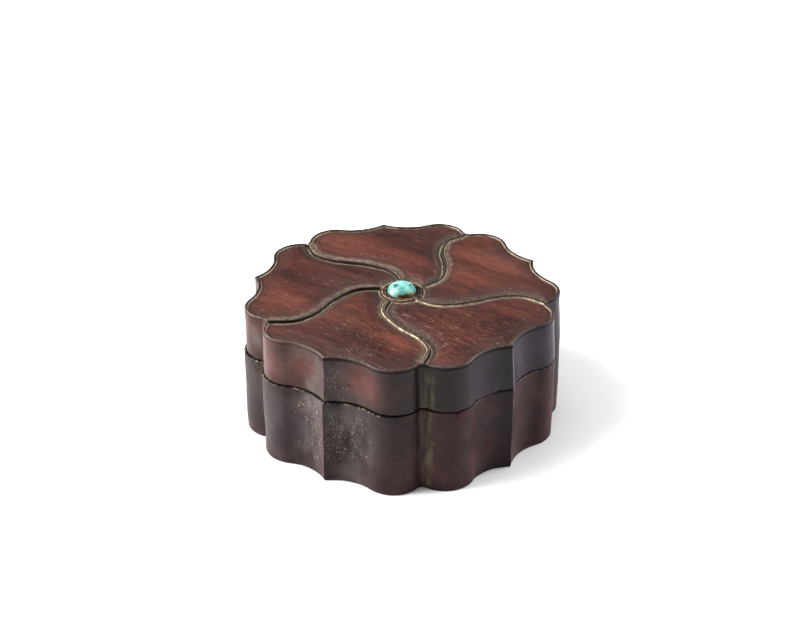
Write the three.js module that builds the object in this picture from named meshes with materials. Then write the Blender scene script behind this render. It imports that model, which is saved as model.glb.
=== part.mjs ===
// A carved hardwood box in the shape of a five-petalled flower, with a lift-off lid and a turquoise
// cabochon at its centre. Millimetres, +Z up, origin at the centre of the underside.
// One petal's cusp points towards -Y.

import * as THREE from 'three';
import { mergeVertices } from 'three/addons/utils/BufferGeometryUtils.js';

// Plan of the flower
const petalCount = 5;
const petalReach = 48.3; // from the axis to the outermost point of a lobe
const cuspSetback = 1.7; // how far a petal's pointed cusp stays inside that reach
const notchDepth = 4.64; // how far the notch between two petals would cut in, if it were sharp
const lobeRadius = 9.1;
const hollowRadius = 14.5; // the concave sweep between a cusp and its lobes
const valleyRadius = 1.5; // the softened bottom of each notch

// Base
const baseHeight = 26.4;
const wallThickness = 4.2;
const floorThickness = 4;
const footBevel = 0.5;
const mouthBevel = 0.3;
const lipSetback = 2.3; // from the outside of the base to the outside of its lip
const lipHeight = 3;

// Lid
const fitClearance = 0.3; // between any two pieces that fit together
const lidHeight = 14.3;
const lidCeilingDepth = 5; // from the crest of the rim down to the ceiling inside
const lidFootInset = 0.35; // the lid's wall starts this far inside the base
const lidShoulderInset = 0.65; // leans in to this where it starts to round over
const lidTopInset = 0.8; // and ends at this, at the outside of the carved bead
const shoulderBelowOverlap = 0.5; // from the lowest carving down to where the rounding starts

// Carving on the lid, as widths from a petal's edge and depths below the crest of its bead
const beadWidth = 0.85;
const beadRound = 0.3; // how far the bead's two sides fall away
const channelWidth = 0.3; // the fine channel inside the bead
const channelDepth = 0.6;
const marginWidth = 2.2; // the sloping margin between the channel and the polished field
const fieldEdgeDrop = 0.05;
const crownWidth = 3.4; // how far in the field goes on rising
const crownRise = 0.45; // height of the field's crown above the crest of the bead
const overlapDepth = 1.3; // how deep a petal dives under the one that overlaps it

// Collar and stone
const collarRadius = 6.4;
const collarDrop = 0.45; // from the crest of the rim down to the crest of the collar
const collarShoulder = 0.35;
const seatDepth = 2.2; // from the crest of the rim down to the floor of the seat
const stoneRadius = 4.33;
const stoneGirdle = 1.1; // height of the stone's straight side
const stoneDome = 2.65;
const stoneBevel = 0.2;

// Border between two petals: its swing from the notch's own line, in degrees, at equal steps
// of the way from the collar out to the notch
const borderSwing = [-40.5, -28.2, -9.3, 3, 5.1, 0];

// Fineness of the facets
const hollowSegments = 4;
const lobeSegments = 6;
const valleySegments = 2;
const borderSegments = 14;
const collarSegments = 5;
const stoneSegments = 28;
const domeSegments = 5;
const traceSegments = 96; // fineness of the lines that are only used to find where edges cross

const petalAngle = (2 * Math.PI) / petalCount;
const halfPetal = petalAngle / 2;
const seamHeight = baseHeight + fitClearance;
const crestHeight = seamHeight + lidHeight;
const lipTop = baseHeight + lipHeight;

const at = (radius, angle) => new THREE.Vector2(radius * Math.cos(angle), radius * Math.sin(angle));
const turned = (points, angle) => points.map((p) => p.clone().rotateAround(new THREE.Vector2(), angle));
const mirrored = (points) => points.map((p) => new THREE.Vector2(p.x, -p.y)).reverse();
const raised = (points, height) => points.map((p) => new THREE.Vector3(p.x, p.y, height));

// The point at two given distances from two others, on the left of the line between them.
function fromTwo(first, firstDistance, second, secondDistance) {
  const along = second.clone().sub(first);
  const span = along.length();
  along.normalize();
  const reach = (firstDistance ** 2 - secondDistance ** 2 + span ** 2) / (2 * span);
  const aside = Math.sqrt(Math.max(0, firstDistance ** 2 - reach ** 2));
  const left = new THREE.Vector2(-along.y, along.x);
  return first.clone().addScaledVector(along, reach).addScaledVector(left, aside);
}

// Centres of the three arcs of half a petal, whose cusp lies on the x axis.
const notchPoint = at(petalReach - notchDepth, halfPetal);
const lobeCentre = fromTwo(notchPoint, lobeRadius, new THREE.Vector2(), petalReach - lobeRadius);
const cuspPoint = new THREE.Vector2(petalReach - cuspSetback, 0);
const hollowCentre = fromTwo(lobeCentre, lobeRadius + hollowRadius, cuspPoint, hollowRadius);
const lobeToNotchLine = Math.abs(lobeCentre.clone().rotateAround(new THREE.Vector2(), -halfPetal).y);
const lobeAlongNotchLine = lobeCentre.clone().rotateAround(new THREE.Vector2(), -halfPetal).x;
const valleyOut = Math.sqrt((lobeRadius + valleyRadius) ** 2 - lobeToNotchLine ** 2);
const valleyCentre = at(lobeAlongNotchLine + valleyOut, halfPetal);

// An arc from one angle to another, without its last point.
function arc(centre, radius, start, end, segments) {
  const points = [];
  for (let i = 0; i < segments; i++) {
    const angle = start + ((end - start) * i) / segments;
    points.push(at(radius, angle).add(centre));
  }
  return points;
}

// Half a petal's outline from the cusp to the notch, drawn in by an inset. Both ends are included.
function halfOutline(inset, fineness = 1) {
  const sweep = hollowRadius + inset;
  const cuspTurn = Math.PI + Math.asin(hollowCentre.y / sweep);
  const hollowEnd = lobeCentre.clone().sub(hollowCentre).angle();
  const lobeStart = hollowEnd - Math.PI;
  const lobeEnd = valleyCentre.clone().sub(lobeCentre).angle();
  const valleyEnd = halfPetal + Math.PI;
  const notch = at(valleyCentre.length() - valleyRadius - inset, halfPetal);
  return [
    ...arc(hollowCentre, sweep, cuspTurn, hollowEnd, hollowSegments * fineness),
    ...arc(lobeCentre, lobeRadius - inset, lobeStart, lobeEnd, lobeSegments * fineness),
    ...arc(valleyCentre, valleyRadius + inset, lobeEnd + Math.PI, valleyEnd, valleySegments * fineness),
    notch,
  ];
}

// The whole flower, anticlockwise from the notch before petal 0, drawn in by an inset.
function flower(inset) {
  const half = halfOutline(inset);
  const petal = [...mirrored(half).slice(0, -1), ...half.slice(0, -1)];
  const points = [];
  for (let k = 0; k < petalCount; k++) {
    points.push(...turned(petal, k * petalAngle - Math.PI / 2));
  }
  return points;
}

// The border that leaves a petal's far notch and swirls in to the collar, from the notch inwards.
function borderLine(segments) {
  const notchRadius = valleyCentre.length() - valleyRadius - lidTopInset;
  const stations = borderSwing.map((swing, i) => {
    const radius = collarRadius + ((notchRadius - collarRadius) * i) / (borderSwing.length - 1);
    return at(radius, halfPetal + THREE.MathUtils.degToRad(swing));
  });
  return new THREE.SplineCurve(stations.reverse()).getSpacedPoints(segments);
}

// A line moved to its left by a distance, or to its right by a negative one.
function shifted(points, distance) {
  return points.map((p, i) => {
    const before = points[Math.max(0, i - 1)];
    const after = points[Math.min(points.length - 1, i + 1)];
    const along = after.clone().sub(before).normalize();
    return p.clone().add(new THREE.Vector2(-along.y, along.x).multiplyScalar(distance));
  });
}

// Where the end of one line crosses the start of the next: both lines, cut there.
function cutWhereTheyCross(first, second) {
  for (let i = first.length - 1; i > 0; i--) {
    for (let j = 1; j < second.length; j++) {
      const a = first[i - 1];
      const b = second[j - 1];
      const u = first[i].clone().sub(a);
      const v = second[j].clone().sub(b);
      const w = b.clone().sub(a);
      const cross = u.cross(v);
      const s = w.cross(v) / cross;
      const t = w.cross(u) / cross;
      if (s >= 0 && s <= 1 && t >= 0 && t <= 1) {
        const corner = a.clone().addScaledVector(u, s);
        return [[...first.slice(0, i), corner], [corner, ...second.slice(j)]];
      }
    }
  }
  return [first, second];
}

// Points on a line at given shares of its length.
function atShares(points, shares) {
  const lengths = [0];
  for (let i = 1; i < points.length; i++) {
    lengths.push(lengths[i - 1] + points[i].distanceTo(points[i - 1]));
  }
  const total = lengths[lengths.length - 1];
  return shares.map((share) => {
    let i = 1;
    while (i < points.length - 1 && lengths[i] < share * total) i++;
    const part = (share * total - lengths[i - 1]) / (lengths[i] - lengths[i - 1]);
    return points[i - 1].clone().lerp(points[i], part);
  });
}

// The shares of a line's length at which its own points lie.
function sharesOf(points) {
  const lengths = [0];
  for (let i = 1; i < points.length; i++) {
    lengths.push(lengths[i - 1] + points[i].distanceTo(points[i - 1]));
  }
  return lengths.map((length) => length / lengths[lengths.length - 1]);
}

// The five edges of petal 0, with its cusp on the x axis, at a distance inside its outline. They run
// anticlockwise: notch to cusp, cusp to notch, the border inwards, the collar, the next border outwards.
const outerFineness = Math.ceil(traceSegments / (hollowSegments + lobeSegments + valleySegments));
const tracedBorder = borderLine(traceSegments);

function petalEdges(distance) {
  const half = halfOutline(lidTopInset + distance, outerFineness);
  const inwards = shifted(tracedBorder, distance);
  const outwards = turned(shifted(tracedBorder, -distance), -petalAngle).reverse();
  const collarStart = tracedBorder[traceSegments].angle();
  const collar = [];
  for (let i = 0; i <= traceSegments; i++) {
    collar.push(at(collarRadius + distance, collarStart - (petalAngle * i) / traceSegments));
  }
  const edges = [mirrored(half), half, inwards, collar, outwards];
  if (distance > 0) {
    for (const i of [1, 2, 3, 4]) {
      const next = (i + 1) % edges.length;
      [edges[i], edges[next]] = cutWhereTheyCross(edges[i], edges[next]);
    }
  }
  return edges;
}

// Shares of each edge's length at which the carving has its facets.
const coarseHalf = halfOutline(lidTopInset);
const borderShares = sharesOf(borderLine(borderSegments));
borderShares.splice(borderSegments, 0, 1 - (0.4 / borderSegments));
const collarShares = Array.from({ length: collarSegments + 1 }, (_, i) => i / collarSegments);
const edgeShares = [
  sharesOf(mirrored(coarseHalf)),
  sharesOf(coarseHalf),
  borderShares,
  collarShares,
  borderShares.map((share) => 1 - share).reverse(),
];

// Height above the crest, for a distance in from an edge that has a bead.
const fieldStart = beadWidth + channelWidth + marginWidth;

function crown(distance) {
  const share = Math.min(1, (distance - fieldStart) / crownWidth);
  return -fieldEdgeDrop + (crownRise + fieldEdgeDrop) * Math.sin((share * Math.PI) / 2);
}

function slope(distance, start, depth) {
  const share = (distance - start) / (fieldStart - start);
  return -depth + (depth - fieldEdgeDrop) * share;
}

function beadedHeight(distance) {
  if (distance <= beadWidth) {
    return -beadRound * (2 * distance / beadWidth - 1) ** 2;
  }
  const channelEnd = beadWidth + channelWidth;
  return distance < fieldStart ? slope(distance, channelEnd, channelDepth) : crown(distance);
}

// The same for an edge that dives under the next petal, or down to the foot of the collar.
function sunkHeight(distance) {
  const floorEnd = beadWidth / 2;
  if (distance <= floorEnd) {
    return -overlapDepth;
  }
  return distance < fieldStart ? slope(distance, floorEnd, overlapDepth) : crown(distance);
}

// The carved rings of petal 0, from its outline inwards, each a list of five edges of points.
const ringDistances = [
  0,
  beadWidth / 2,
  beadWidth,
  beadWidth + channelWidth,
  beadWidth + channelWidth + marginWidth / 2,
  fieldStart,
  fieldStart + crownWidth / 3,
  fieldStart + crownWidth,
];

function petalRing(distance) {
  const heights = [beadedHeight, beadedHeight, beadedHeight, sunkHeight, sunkHeight];
  return petalEdges(distance).map((edge, e) => {
    const height = crestHeight + heights[e](distance);
    const points = raised(atShares(edge, edgeShares[e]), height);
    const low = crestHeight + sunkHeight(distance);
    if (e === 0) points[0].z = low;
    if (e === 2) points[points.length - 1].z = low;
    return points;
  });
}

// A closed surface is gathered as triangles, which are joined where their corners meet.
class Skin {
  constructor() {
    this.corners = [];
  }

  triangle(a, b, c) {
    this.corners.push(a, b, c);
  }

  // A band between two rings or lines of as many points, facing left of their direction when the
  // second lies beyond the first.
  band(first, second, closed = true) {
    const last = closed ? first.length : first.length - 1;
    for (let i = 0; i < last; i++) {
      const j = (i + 1) % first.length;
      this.triangle(first[i], first[j], second[j]);
      this.triangle(first[i], second[j], second[i]);
    }
  }

  // A fan from a ring to a point inside it.
  cap(ring, centre) {
    for (let i = 0; i < ring.length; i++) {
      this.triangle(ring[i], ring[(i + 1) % ring.length], centre);
    }
  }

  geometry() {
    const sound = [];
    for (let i = 0; i < this.corners.length; i += 3) {
      const [a, b, c] = this.corners.slice(i, i + 3);
      const joined = a.distanceTo(b) < 1e-6 || b.distanceTo(c) < 1e-6 || c.distanceTo(a) < 1e-6;
      if (!joined) sound.push(a, b, c);
    }
    const whole = mergeVertices(new THREE.BufferGeometry().setFromPoints(sound), 1e-4);
    whole.computeVertexNormals();
    return whole;
  }
}

// The base: rings from the middle of the underside, out, up, over the lip and down to the floor.
function baseGeometry() {
  const skin = new Skin();
  const profile = [
    [footBevel, 0],
    [0, footBevel],
    [0, baseHeight - mouthBevel],
    [mouthBevel, baseHeight],
    [lipSetback, baseHeight],
    [lipSetback, lipTop],
    [wallThickness, lipTop],
    [wallThickness, floorThickness],
  ];
  const rings = profile.map(([inset, height]) => raised(flower(inset), height));
  skin.cap([...rings[0]].reverse(), new THREE.Vector3(0, 0, 0));
  for (let i = 1; i < rings.length; i++) {
    skin.band(rings[i - 1], rings[i]);
  }
  skin.cap(rings[rings.length - 1], new THREE.Vector3(0, 0, floorThickness));
  return skin.geometry();
}

// The lid: its hollow and its wall as rings, then the five carved petals, the collar and the seat.
function lidGeometry() {
  const skin = new Skin();
  const ceiling = crestHeight - lidCeilingDepth;
  const rebateTop = lipTop + fitClearance;
  const profile = [
    [wallThickness, ceiling],
    [wallThickness, rebateTop],
    [lipSetback - fitClearance, rebateTop],
    [lipSetback - fitClearance, seamHeight],
    [lidFootInset + mouthBevel, seamHeight],
    [lidFootInset, seamHeight + mouthBevel],
    [lidShoulderInset, crestHeight - overlapDepth - shoulderBelowOverlap],
  ];
  const rings = profile.map(([inset, height]) => raised(flower(inset), height));
  skin.cap([...rings[0]].reverse(), new THREE.Vector3(0, 0, ceiling));
  for (let i = 1; i < rings.length; i++) {
    skin.band(rings[i - 1], rings[i]);
  }
  const wallTop = rings[rings.length - 1];
  const petals = [];
  for (let k = 0; k < petalCount; k++) {
    const turn = new THREE.Matrix4().makeRotationZ(k * petalAngle - Math.PI / 2);
    petals.push(ringDistances.map((distance) => petalRing(distance).map((edge) => {
      return edge.map((p) => p.clone().applyMatrix4(turn));
    })));
  }
  petals.forEach((petal, k) => {
    const outline = petal[0];
    const nextOutline = petals[(k + 1) % petalCount][0];
    carvePetal(skin, petal);
    joinOverlap(skin, outline, nextOutline);
    joinWall(skin, outline, nextOutline, wallTop, k);
  });
  carveCollar(skin, petals.map((petal) => petal[0][3]));
  return skin.geometry();
}

// One petal's bead, channel, margin and field.
function carvePetal(skin, rings) {
  for (let i = 1; i < rings.length; i++) {
    for (let e = 0; e < rings[i].length; e++) {
      skin.band(rings[i - 1][e], rings[i][e], false);
    }
  }
  const field = rings[rings.length - 1].flatMap((edge) => edge.slice(0, -1));
  const plan = field.map((p) => new THREE.Vector2(p.x, p.y));
  for (const [a, b, c] of THREE.ShapeUtils.triangulateShape(plan, [])) {
    skin.triangle(field[a], field[b], field[c]);
  }
}

// The small cliff where a petal overlaps the next one.
function joinOverlap(skin, upper, lower) {
  skin.band([...lower[4]].reverse(), upper[2], false);
}

// The top of the lid's wall up to a petal's outline. At the notch the overlap leaves a step.
function joinWall(skin, upper, next, wallTop, k) {
  const perPetal = wallTop.length / petalCount;
  const edge = [...upper[0], ...upper[1].slice(1)];
  const below = Array.from({ length: perPetal + 1 }, (_, i) => wallTop[(k * perPetal + i) % wallTop.length]);
  skin.band(below, edge, false);
  const step = next[0][0];
  skin.triangle(below[perPetal], step, edge[perPetal]);
}

// The collar round the stone and the seat inside it.
function carveCollar(skin, feet) {
  const foot = feet.flatMap((edge) => [...edge].reverse().slice(0, -1));
  const ringAt = (radius, height) => foot.map((p) => {
    const scale = radius / Math.hypot(p.x, p.y);
    return new THREE.Vector3(p.x * scale, p.y * scale, height);
  });
  const seatRadius = stoneRadius + fitClearance;
  const crest = crestHeight - collarDrop;
  const middle = (seatRadius + collarRadius) / 2;
  const rings = [
    foot,
    ringAt(collarRadius - collarShoulder / 2, crest - collarShoulder),
    ringAt(middle, crest),
    ringAt(seatRadius + collarShoulder / 3, crest - collarShoulder / 3),
    ringAt(seatRadius, crestHeight - seatDepth),
  ];
  for (let i = 1; i < rings.length; i++) {
    skin.band(rings[i - 1], rings[i]);
  }
  skin.cap(rings[rings.length - 1], new THREE.Vector3(0, 0, crestHeight - seatDepth));
}

// The stone: a bevelled foot, a straight girdle and a domed top.
function stoneGeometry() {
  const foot = crestHeight - seatDepth + fitClearance;
  const profile = [
    new THREE.Vector2(0, foot),
    new THREE.Vector2(stoneRadius - stoneBevel, foot),
    new THREE.Vector2(stoneRadius, foot + stoneBevel),
  ];
  for (let i = 0; i <= domeSegments; i++) {
    const angle = (i / domeSegments) * (Math.PI / 2);
    const radius = i < domeSegments ? stoneRadius * Math.cos(angle) : 0;
    profile.push(new THREE.Vector2(radius, foot + stoneGirdle + stoneDome * Math.sin(angle)));
  }
  return new THREE.LatheGeometry(profile, stoneSegments).rotateX(Math.PI / 2);
}

const darkWood = new THREE.MeshStandardMaterial({ color: 0x33231f, roughness: 0.5, metalness: 0 });
const redWood = new THREE.MeshStandardMaterial({ color: 0x5a2e24, roughness: 0.42, metalness: 0 });
const turquoise = new THREE.MeshStandardMaterial({ color: 0x63c4bd, roughness: 0.28, metalness: 0 });

function piece(name, geometry, material) {
  const mesh = new THREE.Mesh(geometry, material);
  mesh.name = name;
  return mesh;
}

const box = new THREE.Group();
box.add(piece('box_base', baseGeometry(), darkWood));
box.add(piece('box_lid', lidGeometry(), redWood));
box.add(piece('turquoise_cabochon', stoneGeometry(), turquoise));

export default box;
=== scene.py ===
# A carved hardwood box in the shape of a five-petalled flower. Its lid lifts off, and the petals on the
# lid swirl and overlap round a domed turquoise. Forms are worked out in millimetres and made in metres.
# A plan is an array of complex numbers, so that a turn is a product.

import math

import bmesh
import bpy
import numpy as np
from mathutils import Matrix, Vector, geometry


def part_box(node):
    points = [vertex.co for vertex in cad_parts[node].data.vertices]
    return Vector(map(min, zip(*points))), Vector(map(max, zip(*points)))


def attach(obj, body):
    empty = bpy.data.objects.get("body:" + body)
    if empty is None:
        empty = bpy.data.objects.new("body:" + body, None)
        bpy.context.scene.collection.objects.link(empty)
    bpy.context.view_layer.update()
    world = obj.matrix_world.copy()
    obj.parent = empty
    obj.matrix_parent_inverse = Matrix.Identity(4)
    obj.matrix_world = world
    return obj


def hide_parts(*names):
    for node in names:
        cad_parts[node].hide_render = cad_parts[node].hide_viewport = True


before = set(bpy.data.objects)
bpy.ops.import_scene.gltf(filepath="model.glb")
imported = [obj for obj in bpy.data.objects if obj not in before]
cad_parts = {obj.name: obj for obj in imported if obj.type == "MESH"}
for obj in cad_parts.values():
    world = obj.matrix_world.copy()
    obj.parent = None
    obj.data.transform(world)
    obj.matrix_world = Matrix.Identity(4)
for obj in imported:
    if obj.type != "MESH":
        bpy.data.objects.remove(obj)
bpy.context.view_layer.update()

MM = 0.001

# Heights and the stone's radius, as the frame gives them
LIP_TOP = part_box("box_base")[1][2] / MM
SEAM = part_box("box_lid")[0][2] / MM
STONE_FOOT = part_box("turquoise_cabochon")[0][2] / MM
STONE_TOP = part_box("turquoise_cabochon")[1][2] / MM
STONE_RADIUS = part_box("turquoise_cabochon")[1][0] / MM

# The outline of a petal, from its pointed cusp through a hollow and round a lobe to the notch
PETALS = 5
PETAL = 2 * math.pi / PETALS
REACH = 48.3
CUSP_SETBACK = 1.7
NOTCH_DEPTH = 4.64
LOBE_RADIUS = 9.1
HOLLOW_RADIUS = 14.5
VALLEY_RADIUS = 1.5

# Directions in the plan: the first petal's cusp, and the one that points right in the picture
FIRST_CUSP = -math.pi / 2
VIEW_AZIMUTH = math.radians(28.65)

# Heights and walls of the base and of the lid
FIT = 0.3
LIP_HEIGHT = 3.0
BASE_TOP = LIP_TOP - LIP_HEIGHT
LID_HEIGHT = 14.3
CREST = SEAM + LID_HEIGHT
CEILING = CREST - 5.0
WALL = 4.2
FLOOR = 4.0
LIP_SETBACK = 2.3
LID_FOOT_INSET = 0.35
LID_TOP_INSET = 0.8

# Roundings of the edges
FOOT_ROUND = 0.6
SEAM_ROUND = 0.14
LIP_ROUND = 0.35

# Carving: widths in from a petal's edge, and depths below the crest of its bead
BEAD = 0.85
BEAD_ROUND = 0.32
CHANNEL = 0.3
CHANNEL_DEPTH = 0.62
MARGIN = 2.2
FIELD_START = BEAD + CHANNEL + MARGIN
FIELD_EDGE_DROP = 0.05
CROWN_WIDTH = 3.4
CROWN_RISE = 0.45
OVERLAP_DEPTH = 1.1
COLLAR_RADIUS = 6.4

# How far the border between two petals swings from the line to their notch, in degrees, from the collar out
BORDER_SWING = [-40.5, -28.2, -9.3, 3.0, 5.1, 0.0]

# The stone: its bevel, its girdle above the foot, and how much higher its dome is than the frame's
STONE_BEVEL = 0.25
GIRDLE_HEIGHT = 1.1
DOME_RISE = 0.35

# The lid fits closest on the right: how far the foot of its wall leans that way, and comes lower there
LEAN = 0.27
SETTLED = 0.2

# Fineness of the visible meshes
HALF_STEPS = 68
BORDER_STEPS = 92
COLLAR_STEPS = 18
TRACE_STEPS = 240
FIELD_SPACING = 1.15
STONE_STEPS = 96


# The plan, drawn as lines

def unit(angle):
    return complex(math.cos(angle), math.sin(angle))


def from_two(first, first_distance, second, second_distance):
    """The point at given distances from two others, on the left of the line between them."""
    span = abs(second - first)
    along = (second - first) / span
    reach = (first_distance ** 2 - second_distance ** 2 + span ** 2) / (2 * span)
    aside = math.sqrt(max(0.0, first_distance ** 2 - reach ** 2))
    return first + along * complex(reach, aside)


def angle_of(vector):
    return math.atan2(vector.imag, vector.real) % (2 * math.pi)


TURNS = [unit(FIRST_CUSP + k * PETAL) for k in range(PETALS)]

CUSP = complex(REACH - CUSP_SETBACK, 0)
NOTCH_LINE = unit(PETAL / 2)
LOBE_CENTRE = from_two((REACH - NOTCH_DEPTH) * NOTCH_LINE, LOBE_RADIUS, 0j, REACH - LOBE_RADIUS)
HOLLOW_CENTRE = from_two(LOBE_CENTRE, LOBE_RADIUS + HOLLOW_RADIUS, CUSP, HOLLOW_RADIUS)
LOBE_ON_NOTCH_LINE = LOBE_CENTRE / NOTCH_LINE
VALLEY_OUT = math.sqrt((LOBE_RADIUS + VALLEY_RADIUS) ** 2 - LOBE_ON_NOTCH_LINE.imag ** 2)
VALLEY_CENTRE = (LOBE_ON_NOTCH_LINE.real + VALLEY_OUT) * NOTCH_LINE
VALLEY_BOTTOM = abs(VALLEY_CENTRE) - VALLEY_RADIUS


def arc(centre, radius, start, end, steps):
    """An arc without its last point."""
    return centre + radius * np.exp(1j * np.linspace(start, end, steps, endpoint=False))


def half_petal(inset):
    """The outline from the cusp, on the x axis, round the lobe to the notch, drawn in by an inset."""
    sweep = HOLLOW_RADIUS + inset
    cusp_turn = math.pi + math.asin(HOLLOW_CENTRE.imag / sweep)
    hollow_end = angle_of(LOBE_CENTRE - HOLLOW_CENTRE)
    lobe_end = angle_of(VALLEY_CENTRE - LOBE_CENTRE)
    valley_end = PETAL / 2 + math.pi
    return np.concatenate([
        arc(HOLLOW_CENTRE, sweep, cusp_turn, hollow_end, TRACE_STEPS // 2),
        arc(LOBE_CENTRE, LOBE_RADIUS - inset, hollow_end - math.pi, lobe_end, TRACE_STEPS // 2),
        arc(VALLEY_CENTRE, VALLEY_RADIUS + inset, lobe_end + math.pi, valley_end, TRACE_STEPS // 10),
        [(VALLEY_BOTTOM - inset) * NOTCH_LINE],
    ])


def mirrored(points):
    return np.conj(points)[::-1]


def border_line():
    """The line on which a petal overlaps the next: a smooth curve from the notch in to the collar."""
    radii = np.linspace(COLLAR_RADIUS, VALLEY_BOTTOM - LID_TOP_INSET, len(BORDER_SWING))
    stations = (radii * np.exp(1j * (PETAL / 2 + np.radians(BORDER_SWING))))[::-1]
    padded = np.concatenate([stations[:1], stations, stations[-1:]])
    points = []
    for a, b, c, d in zip(padded, padded[1:], padded[2:], padded[3:]):
        t = np.linspace(0, 1, TRACE_STEPS // 5, endpoint=False)
        start, end = (c - a) / 2, (d - b) / 2
        bend = (2 * b - 2 * c + start + end) * t ** 3 + (3 * c - 3 * b - 2 * start - end) * t ** 2
        points.append(bend + start * t + b)
    return np.concatenate(points + [stations[-1:]])


def shifted(points, distance):
    """A line moved to its left by a distance."""
    along = np.gradient(points)
    return points + 1j * distance * along / np.abs(along)


def cut_where_they_cross(first, second):
    """The end of one line and the start of the next, both cut where they cross."""
    b = second[:-1]
    v = second[1:] - b
    for i in range(len(first) - 1, 0, -1):
        u = first[i] - first[i - 1]
        w = b - first[i - 1]
        cross = (np.conj(u) * v).imag
        cross[cross == 0] = np.inf
        s = (np.conj(w) * v).imag / cross
        t = (np.conj(w) * u).imag / cross
        hits = np.flatnonzero((s >= 0) & (s <= 1) & (t >= 0) & (t <= 1))
        if len(hits):
            corner = [first[i - 1] + s[hits[0]] * u]
            return np.concatenate([first[:i], corner]), np.concatenate([corner, second[hits[0] + 1:]])
    return first, second


def at_shares(points, shares):
    """Points on a line at given shares of its length."""
    lengths = np.concatenate([[0], np.cumsum(np.abs(np.diff(points)))])
    wanted = shares * lengths[-1]
    return np.interp(wanted, lengths, points.real) + 1j * np.interp(wanted, lengths, points.imag)


BORDER = border_line()

# A petal has five edges: notch to cusp, cusp to notch, the border inwards, the collar and the other border
EDGE_STEPS = (HALF_STEPS, HALF_STEPS, BORDER_STEPS, COLLAR_STEPS, BORDER_STEPS)
EDGE_STARTS = np.cumsum((0,) + EDGE_STEPS)
EDGE_OF_POINT = np.repeat(np.arange(len(EDGE_STEPS)), EDGE_STEPS)
SHARES =[np.linspace(0, 1, steps + 1) for steps in EDGE_STEPS]


def petal_edges(distance):
    """The five edges of the petal whose cusp is on the x axis, that far inside its outline. The collar's
    edge runs clockwise, and the last border outwards."""
    half = half_petal(LID_TOP_INSET + distance)
    inwards = shifted(BORDER, distance)
    outwards = (shifted(BORDER, -distance) * unit(-PETAL))[::-1]
    turn = np.linspace(0, -PETAL, TRACE_STEPS)
    round_collar = (COLLAR_RADIUS + distance) * np.exp(1j * (angle_of(BORDER[-1]) + turn))
    edges = [mirrored(half), half, inwards, round_collar, outwards]
    if distance > 0:
        for i in (1, 2, 3, 4):
            after = (i + 1) % len(edges)
            edges[i], edges[after] = cut_where_they_cross(edges[i], edges[after])
    return [at_shares(edge, shares) for edge, shares in zip(edges, SHARES)]


def flower(inset):
    """The whole outline drawn in by an inset, anticlockwise from the notch before the first petal."""
    half = at_shares(half_petal(inset), SHARES[0])
    petal = np.concatenate([mirrored(half)[:-1], half[:-1]])
    return np.concatenate([petal * turn for turn in TURNS])


def lies_within(points, contour):
    """Which points lie inside a closed contour."""
    ahead = np.roll(contour, -1)
    odd = np.zeros(len(points), dtype=bool)
    for a, b in zip(contour, ahead):
        crosses = (a.imag > points.imag) != (b.imag > points.imag)
        if crosses.any():
            x = a.real + (points.imag - a.imag) * (b.real - a.real) / (b.imag - a.imag)
            odd ^= crosses & (points.real < x)
    return odd


# Heights of the carving

def ease(value, low, high):
    t = np.clip((value - low) / (high - low), 0, 1)
    return t * t * (3 - 2 * t)


def crown(distance):
    """The gently domed field."""
    share = np.clip((distance - FIELD_START) / CROWN_WIDTH, 0, 1)
    return -FIELD_EDGE_DROP + (CROWN_RISE + FIELD_EDGE_DROP) * np.sin(share * math.pi / 2)


def beaded_height(distance):
    """Across a petal's own edge: the round bead, the fine channel, the margin and the field."""
    bead = -BEAD_ROUND * np.abs(2 * distance / BEAD - 1) ** 2.4
    channel_end = BEAD + CHANNEL
    fall = -BEAD_ROUND + (BEAD_ROUND - CHANNEL_DEPTH) * ease(distance, BEAD, BEAD + CHANNEL / 2)
    share = np.clip((distance - channel_end) / MARGIN, 0, 1)
    margin = -CHANNEL_DEPTH + (CHANNEL_DEPTH - FIELD_EDGE_DROP) * np.sin(share * math.pi / 2) ** 0.9
    height = np.where(distance <= BEAD, bead, fall)
    height = np.where(distance > channel_end, margin, height)
    return np.where(distance >= FIELD_START, crown(distance), height)


def sunk_height(distance):
    """Across the edge that dives under the next petal, and round the foot of the collar."""
    floor_end = BEAD / 2
    share = np.clip((distance - floor_end) / (FIELD_START - floor_end), 0, 1)
    margin = -OVERLAP_DEPTH + (OVERLAP_DEPTH - FIELD_EDGE_DROP) * share ** 1.3 * (1.3 - 0.3 * share)
    height = np.where(distance <= floor_end, -OVERLAP_DEPTH, margin)
    return np.where(distance >= FIELD_START, crown(distance), height)


# The hand of the carver: slow and fine wandering of every surface, and chips along the seam

def wander(points, length, seed):
    """A smooth field of three values between about -1 and 1 that changes over a length."""
    chance = np.random.default_rng(seed)
    field = np.zeros_like(points)
    for _ in range(6):
        direction = chance.normal(size=3)
        direction *= 2 * math.pi / (length * np.linalg.norm(direction) * chance.uniform(0.7, 1.4))
        phase = chance.uniform(0, 2 * math.pi, size=3)
        field += np.sin((points @ direction)[:, None] + phase)
    return field / 3


def carved_by_hand(points, seed):
    slow = wander(points, 24, seed) * (0.13, 0.13, 0.05)
    fine = wander(points, 5.5, seed + 1) * (0.035, 0.035, 0.022)
    return points + slow + fine


def chips(plan, seed, depth):
    """Depth of the chips along an edge: mostly nothing, with a few short bites."""
    points = spatial(plan, 0.0)
    unevenness = wander(points, 3.1, seed)[:, 0] + 0.6 * wander(points, 1.3, seed + 1)[:, 1]
    return np.clip(unevenness - 0.7, 0, 0.6) * depth


def spatial(plan, heights):
    return np.stack([plan.real, plan.imag, np.broadcast_to(heights, plan.shape)], axis=1)


# What a point knows of its place: millimetres in from the petal's edge, 1 where that edge is sunk, 1 where
# it is the lid's rim, and millimetres along the wall from the nearest notch
MARKS = ("from_edge", "sunk", "rim", "from_notch")


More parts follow.
